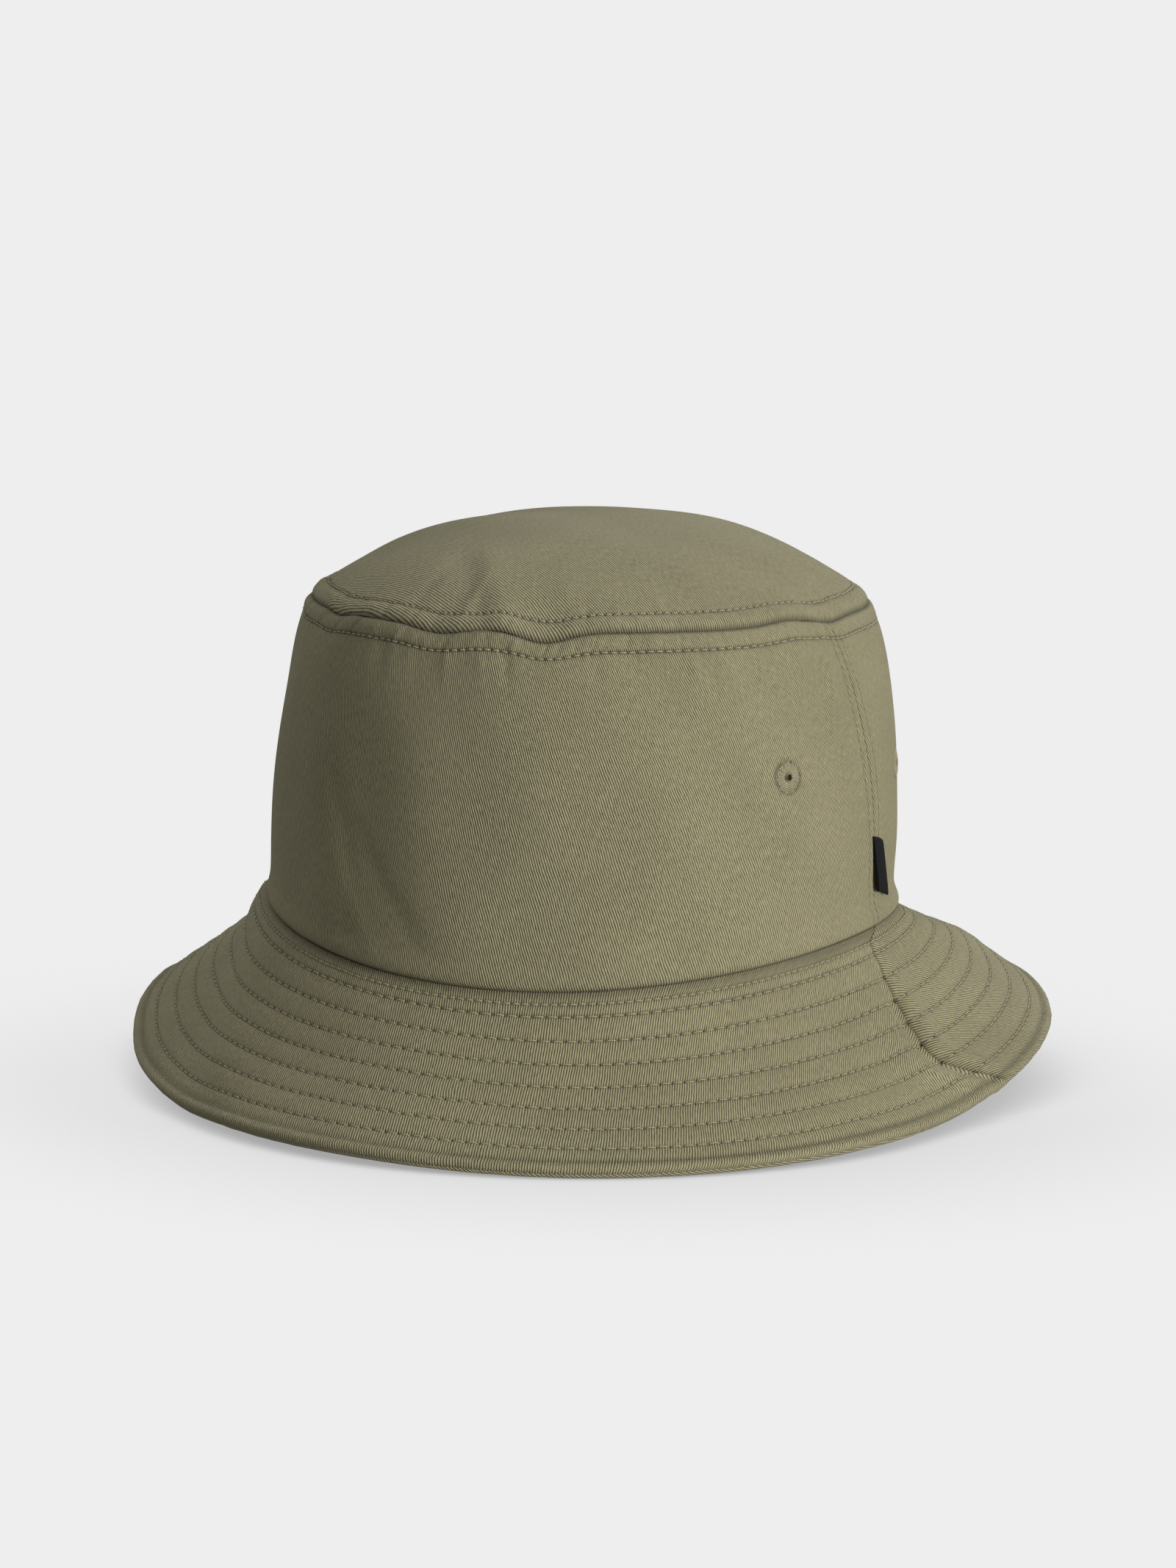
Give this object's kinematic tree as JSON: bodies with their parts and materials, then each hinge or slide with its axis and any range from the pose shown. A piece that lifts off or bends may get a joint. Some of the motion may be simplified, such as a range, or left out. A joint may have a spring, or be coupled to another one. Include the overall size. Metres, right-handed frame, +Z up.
{
  "type": "bucket hat",
  "caption": "Soft bucket hat with an oval domed crown, stitched downward-sloping brim, embroidered vent eyelets, inner sweatband and a small side flag label.",
  "frame": {"origin": "under the middle of the hat's overall box, on the surface that the brim rests on", "axes": "+Z up; -Y towards the front of the hat; +X towards the wearer's left, the side with the flag label"},
  "size_m": [0.26, 0.2774, 0.1635],
  "materials": {
    "twill": "cotton twill, soft matt with a slight sheen, olive khaki",
    "interlining": "stiff non-woven, matt, off-white",
    "band_cloth": "plain cotton tape, matt, olive khaki",
    "seam_tape": "folded cotton binding, matt, olive khaki",
    "thread": "spun polyester thread, slight sheen, olive khaki",
    "eyelet_thread": "embroidery thread, slight sheen, olive khaki",
    "flag_cloth": "woven damask tape, satin, black",
    "care_cloth": "printed satin tape, slight sheen, white",
    "size_cloth": "woven damask tape, satin, black"
  },
  "bodies": {
    "hat": {"crown_tip": "twill", "crown_side_front": "twill", "crown_side_back": "twill", "brim_top_front": "twill", "brim_top_back": "twill", "brim_under_front": "twill", "brim_under_back": "twill", "brim_interlining_front": "interlining", "brim_interlining_back": "interlining", "sweatband": "band_cloth", "tip_seam_tape": "seam_tape", "side_seam_tape_left": "seam_tape", "side_seam_tape_right": "seam_tape", "eyelet_left_front": "eyelet_thread", "eyelet_left_back": "eyelet_thread", "eyelet_right_front": "eyelet_thread", "eyelet_right_back": "eyelet_thread", "size_label": "size_cloth", "tip_stitching_upper": "thread", "tip_stitching_lower": "thread", "side_stitching_left": "thread", "side_stitching_right": "thread", "crown_foot_stitching": "thread", "brim_stitching": "thread", "brim_bobbin_stitching": "thread", "sweatband_stitching": "thread"},
    "flag_label": {"flag_label": "flag_cloth"},
    "care_label": {"care_label": "care_cloth"}
  },
  "joints": [
    {"name": "flag_label_turn", "type": "hinge", "parent": "hat", "child": "flag_label", "pos_m": [0.09378, 0.0049, 0.06858], "axis": [0, 0, -1], "range_deg": [0, 150]},
    {"name": "care_label_turn", "type": "hinge", "parent": "hat", "child": "care_label", "pos_m": [0.08495, -0.00385, 0.10195], "axis": [0, 0, 1], "range_deg": [0, 135]}
  ]
}
